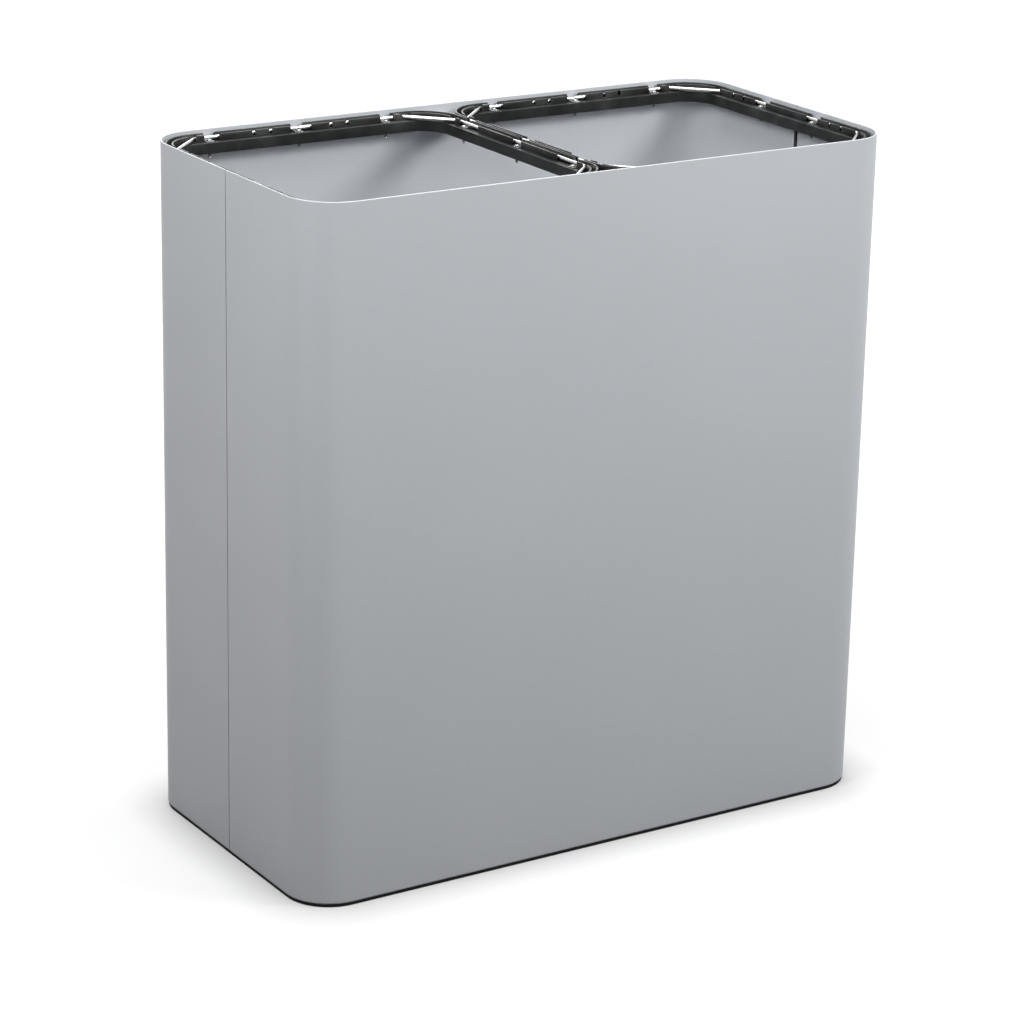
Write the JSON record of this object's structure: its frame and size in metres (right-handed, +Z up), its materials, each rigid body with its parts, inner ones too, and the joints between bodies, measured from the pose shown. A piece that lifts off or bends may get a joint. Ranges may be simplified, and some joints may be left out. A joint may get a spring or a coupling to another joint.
{
  "type": "double recycling bin",
  "caption": "Open-top floor bin in satin grey sheet steel with two square black bag frames side by side, each with a hinged steel rod that clamps the bag.",
  "frame": {"origin": "on the floor under the middle of the bin", "axes": "+Z up, +X along the long side to the right of the front, -Y the front"},
  "size_m": [0.671, 0.339, 0.703],
  "materials": {
    "shell_paint": "satin",
    "black_plastic": "matte",
    "black_rubber": "matte",
    "zinc_steel": "satin",
    "bright_steel": "bright",
    "rod_steel": "polished"
  },
  "bodies": {
    "shell": {"front_shell_half": "shell_paint", "rear_shell_half": "shell_paint", "weld_studs": "bright_steel", "left_joint_strip": "black_plastic", "right_joint_strip": "black_plastic", "base_edge_ring": "black_rubber", "floor_plate": "zinc_steel", "base_screws": "bright_steel", "base_nuts": "bright_steel", "front_support_rail": "zinc_steel", "rear_support_rail": "zinc_steel", "left_support_rail": "zinc_steel", "right_support_rail": "zinc_steel", "centre_support_bar": "zinc_steel", "rail_nuts": "bright_steel"},
    "left_frame": {"left_bag_frame": "black_plastic", "left_rear_guide_1": "black_plastic", "left_rear_guide_2": "black_plastic", "left_front_guide_1": "black_plastic", "left_front_guide_2": "black_plastic", "left_outer_guide_1": "black_plastic", "left_outer_guide_2": "black_plastic", "left_outer_guide_3": "black_plastic", "left_middle_guide_1": "black_plastic", "left_middle_guide_2": "black_plastic", "left_rear_outer_corner_guide": "black_plastic", "left_rear_middle_corner_guide": "black_plastic", "left_front_outer_corner_guide": "black_plastic", "left_front_middle_corner_guide": "black_plastic", "left_rod_clips": "bright_steel", "left_clip_screws": "bright_steel"},
    "left_rod": {"left_clamp_rod": "rod_steel", "left_rod_sleeve": "rod_steel"},
    "right_frame": {"right_bag_frame": "black_plastic", "right_rear_guide_1": "black_plastic", "right_rear_guide_2": "black_plastic", "right_front_guide_1": "black_plastic", "right_front_guide_2": "black_plastic", "right_outer_guide_1": "black_plastic", "right_outer_guide_2": "black_plastic", "right_outer_guide_3": "black_plastic", "right_middle_guide_1": "black_plastic", "right_middle_guide_2": "black_plastic", "right_rear_outer_corner_guide": "black_plastic", "right_rear_middle_corner_guide": "black_plastic", "right_front_outer_corner_guide": "black_plastic", "right_front_middle_corner_guide": "black_plastic", "right_rod_clips": "bright_steel", "right_clip_screws": "bright_steel"},
    "right_rod": {"right_clamp_rod": "rod_steel", "right_rod_sleeve": "rod_steel"}
  },
  "joints": [
    {"name": "left_frame_lift", "type": "slide", "parent": "shell", "child": "left_frame", "axis": [0, 0, 1], "range_m": [0, 0.06]},
    {"name": "left_rod_hinge", "type": "hinge", "parent": "left_frame", "child": "left_rod", "pos_m": [-0.166, 0.16105, 0.6953], "axis": [-1, 0, 0], "range_deg": [0, 90]},
    {"name": "right_frame_lift", "type": "slide", "parent": "shell", "child": "right_frame", "axis": [0, 0, 1], "range_m": [0, 0.06]},
    {"name": "right_rod_hinge", "type": "hinge", "parent": "right_frame", "child": "right_rod", "pos_m": [0.166, 0.16105, 0.6953], "axis": [-1, 0, 0], "range_deg": [0, 90]}
  ]
}
